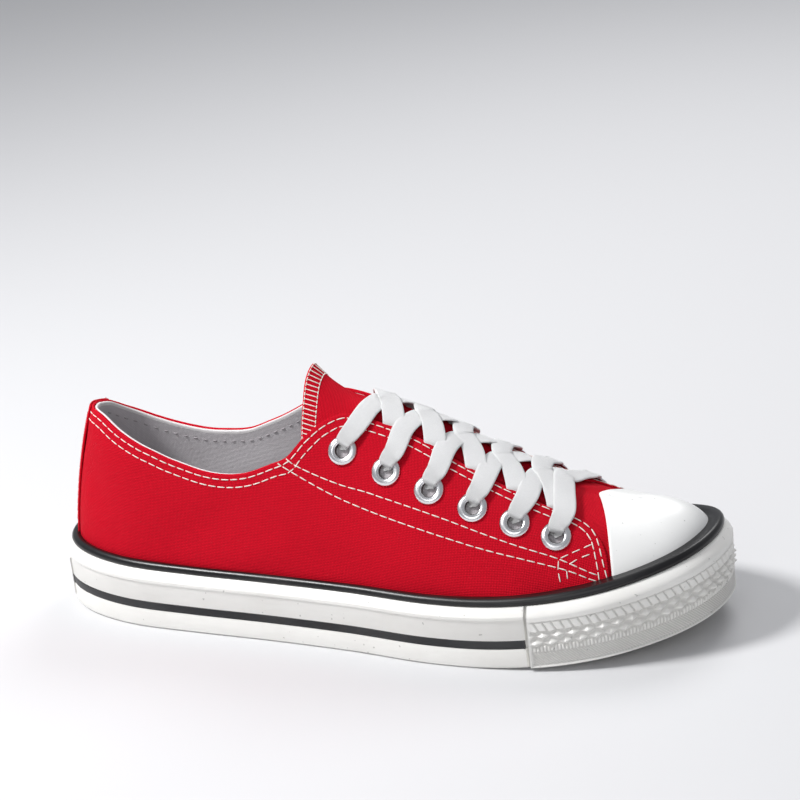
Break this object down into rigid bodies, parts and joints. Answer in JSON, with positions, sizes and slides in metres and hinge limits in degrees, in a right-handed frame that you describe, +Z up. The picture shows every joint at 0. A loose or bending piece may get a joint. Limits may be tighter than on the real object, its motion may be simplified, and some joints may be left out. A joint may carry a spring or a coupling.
{
  "type": "canvas sneaker",
  "caption": "Low canvas lace-up sneaker for a right foot: rubber cup-like side wall with a toe bumper, smooth toe cap, laced throat and tongue.",
  "frame": {"origin": "middle of the footprint's bounding box, on the ground plane the shoe rests on", "axes": "+X from the heel towards the toe, +Y towards the medial side (the wearer's left on this right shoe), +Z up"},
  "size_m": [0.2764, 0.0948, 0.101],
  "materials": {
    "sole_rubber": "matte off-white rubber",
    "white_rubber": "off-white moulded rubber",
    "black_rubber": "slightly glossy black rubber",
    "lining": "light grey cotton",
    "canvas": "plain-woven red canvas",
    "nickel": "polished nickel-plated metal",
    "cap_rubber": "smooth satin white rubber",
    "lace": "white flat woven cotton"
  },
  "bodies": {
    "root": {"outsole": "sole_rubber", "foxing": "white_rubber", "stripe_lateral": "black_rubber", "stripe_medial": "black_rubber", "band": "black_rubber", "toe_bumper": "white_rubber", "heel_label": "white_rubber", "insole": "lining", "upper": "canvas", "eyelet_lateral_1": "nickel", "eyelet_lateral_2": "nickel", "eyelet_lateral_3": "nickel", "eyelet_lateral_4": "nickel", "eyelet_lateral_5": "nickel", "eyelet_lateral_6": "nickel", "eyelet_medial_1": "nickel", "eyelet_medial_2": "nickel", "eyelet_medial_3": "nickel", "eyelet_medial_4": "nickel", "eyelet_medial_5": "nickel", "eyelet_medial_6": "nickel", "vent_1": "nickel", "vent_2": "nickel", "toe_cap": "cap_rubber", "heel_stay": "canvas", "tongue": "canvas", "lace_crossing_1": "lace", "lace_crossing_2": "lace", "lace_crossing_3": "lace", "lace_crossing_4": "lace", "lace_crossing_5": "lace", "lace_bar": "lace"}
  },
  "joints": []
}
